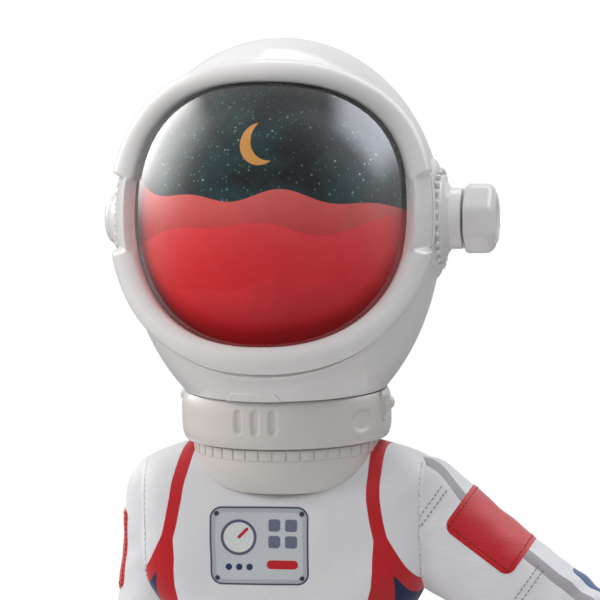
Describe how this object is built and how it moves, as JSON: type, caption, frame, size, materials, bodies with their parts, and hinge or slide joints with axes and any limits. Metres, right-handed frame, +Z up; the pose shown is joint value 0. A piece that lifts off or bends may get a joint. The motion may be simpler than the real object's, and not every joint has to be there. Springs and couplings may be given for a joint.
{
  "type": "action figure",
  "caption": "Standing jointed action figure in a space suit; a knob on its round helmet turns a printed inner visor up inside the dome.",
  "frame": {"origin": "centre of the figure's box at the height of its soles", "axes": "+Z up, the figure faces -Y, its left side is +X"},
  "size_m": [0.1416, 0.0632, 0.254],
  "materials": {
    "gloss_white": "moulded, high gloss",
    "warm_white": "moulded, semi gloss",
    "clear_lens": "clear moulded styrene",
    "printed_visor": "printed sheet, satin",
    "steel": "turned",
    "skin_vinyl": "soft vinyl",
    "suit_cloth": "satin twill, printed",
    "body_plastic": "moulded",
    "glove_vinyl": "soft vinyl",
    "boot_vinyl": "soft vinyl",
    "sole_rubber": "moulded"
  },
  "bodies": {
    "torso": {"torso_front": "body_plastic", "torso_back": "body_plastic", "body_screw_1": "steel", "body_screw_2": "steel", "body_screw_3": "steel", "body_screw_4": "steel", "neck_post": "body_plastic", "collar_bib": "warm_white", "suit_torso": "suit_cloth", "pelvis_core": "body_plastic", "hip_axle": "steel"},
    "head": {"head": "skin_vinyl", "helmet_front_shell": "gloss_white", "helmet_rear_shell": "gloss_white", "visor_frame": "gloss_white", "visor_lens": "clear_lens", "hub_cap": "gloss_white", "neck_ring": "warm_white", "collar_latch_left": "warm_white", "collar_latch_right": "warm_white"},
    "picture_visor": {"scene_visor": "printed_visor", "visor_spindle": "steel", "visor_pivot_pin": "steel", "visor_knob": "gloss_white", "knob_screw": "steel"},
    "shoulder_left": {"shoulder_hub_left": "body_plastic"},
    "upper_arm_left": {"upper_arm_core_left": "body_plastic", "shoulder_pin_left": "steel", "upper_sleeve_left": "suit_cloth"},
    "forearm_left": {"forearm_core_left": "body_plastic", "elbow_pin_left": "steel", "forearm_sleeve_left": "suit_cloth"},
    "hand_left": {"glove_left": "glove_vinyl", "glove_cuff_left": "glove_vinyl"},
    "thigh_left": {"thigh_core_left": "body_plastic", "trouser_thigh_left": "suit_cloth"},
    "shin_left": {"shin_core_left": "body_plastic", "knee_pin_left": "steel", "trouser_shin_left": "suit_cloth", "boot_left": "boot_vinyl", "boot_sole_left": "sole_rubber"},
    "shoulder_right": {"shoulder_hub_right": "body_plastic"},
    "upper_arm_right": {"upper_arm_core_right": "body_plastic", "shoulder_pin_right": "steel", "upper_sleeve_right": "suit_cloth"},
    "forearm_right": {"forearm_core_right": "body_plastic", "elbow_pin_right": "steel", "forearm_sleeve_right": "suit_cloth"},
    "hand_right": {"glove_right": "glove_vinyl", "glove_cuff_right": "glove_vinyl"},
    "thigh_right": {"thigh_core_right": "body_plastic", "trouser_thigh_right": "suit_cloth"},
    "shin_right": {"shin_core_right": "body_plastic", "knee_pin_right": "steel", "trouser_shin_right": "suit_cloth", "boot_right": "boot_vinyl", "boot_sole_right": "sole_rubber"}
  },
  "joints": [
    {"name": "helmet_turn", "type": "hinge", "parent": "torso", "child": "head", "pos_m": [-0.03298, -0.00095, 0.1882], "axis": [0, 0, 1], "range_deg": [-70, 70]},
    {"name": "visor_turn", "type": "hinge", "parent": "head", "child": "picture_visor", "pos_m": [-0.03298, -0.00095, 0.22], "axis": [-1, 0, 0], "range_deg": [0, 110]},
    {"name": "shoulder_swing_left", "type": "hinge", "parent": "torso", "child": "shoulder_left", "pos_m": [-0.00898, -0.00095, 0.1642], "axis": [-1, 0, 0], "range_deg": [-30, 60]},
    {"name": "shoulder_spread_left", "type": "hinge", "parent": "shoulder_left", "child": "upper_arm_left", "pos_m": [-0.00898, -0.00095, 0.1642], "axis": [0, -1, 0], "range_deg": [-49, 36]},
    {"name": "elbow_left", "type": "hinge", "parent": "upper_arm_left", "child": "forearm_left", "pos_m": [0.02338, -0.00095, 0.14069], "axis": [-0.5878, 0, -0.809], "range_deg": [0, 90]},
    {"name": "wrist_left", "type": "hinge", "parent": "forearm_left", "child": "hand_left", "pos_m": [0.04846, -0.00095, 0.12247], "axis": [-0.809, 0, 0.5878], "range_deg": [-60, 60]},
    {"name": "hip_left", "type": "hinge", "parent": "torso", "child": "thigh_left", "pos_m": [-0.02278, -0.00095, 0.103], "axis": [-1, 0, 0], "range_deg": [-25, 90]},
    {"name": "knee_left", "type": "hinge", "parent": "thigh_left", "child": "shin_left", "pos_m": [-0.02278, -0.00095, 0.059], "axis": [1, 0, 0], "range_deg": [0, 90]},
    {"name": "shoulder_swing_right", "type": "hinge", "parent": "torso", "child": "shoulder_right", "pos_m": [-0.05698, -0.00095, 0.1642], "axis": [-1, 0, 0], "range_deg": [-30, 60]},
    {"name": "shoulder_spread_right", "type": "hinge", "parent": "shoulder_right", "child": "upper_arm_right", "pos_m": [-0.05698, -0.00095, 0.1642], "axis": [0, 1, 0], "range_deg": [0, 85]},
    {"name": "elbow_right", "type": "hinge", "parent": "upper_arm_right", "child": "forearm_right", "pos_m": [-0.06047, -0.00095, 0.12435], "axis": [-0.9962, 0, 0.0872], "range_deg": [0, 90]},
    {"name": "wrist_right", "type": "hinge", "parent": "forearm_right", "child": "hand_right", "pos_m": [-0.06317, -0.00095, 0.09347], "axis": [0.0872, 0, 0.9962], "range_deg": [-60, 60]},
    {"name": "hip_right", "type": "hinge", "parent": "torso", "child": "thigh_right", "pos_m": [-0.04318, -0.00095, 0.103], "axis": [-1, 0, 0], "range_deg": [-25, 90]},
    {"name": "knee_right", "type": "hinge", "parent": "thigh_right", "child": "shin_right", "pos_m": [-0.04318, -0.00095, 0.059], "axis": [1, 0, 0], "range_deg": [0, 90]}
  ]
}
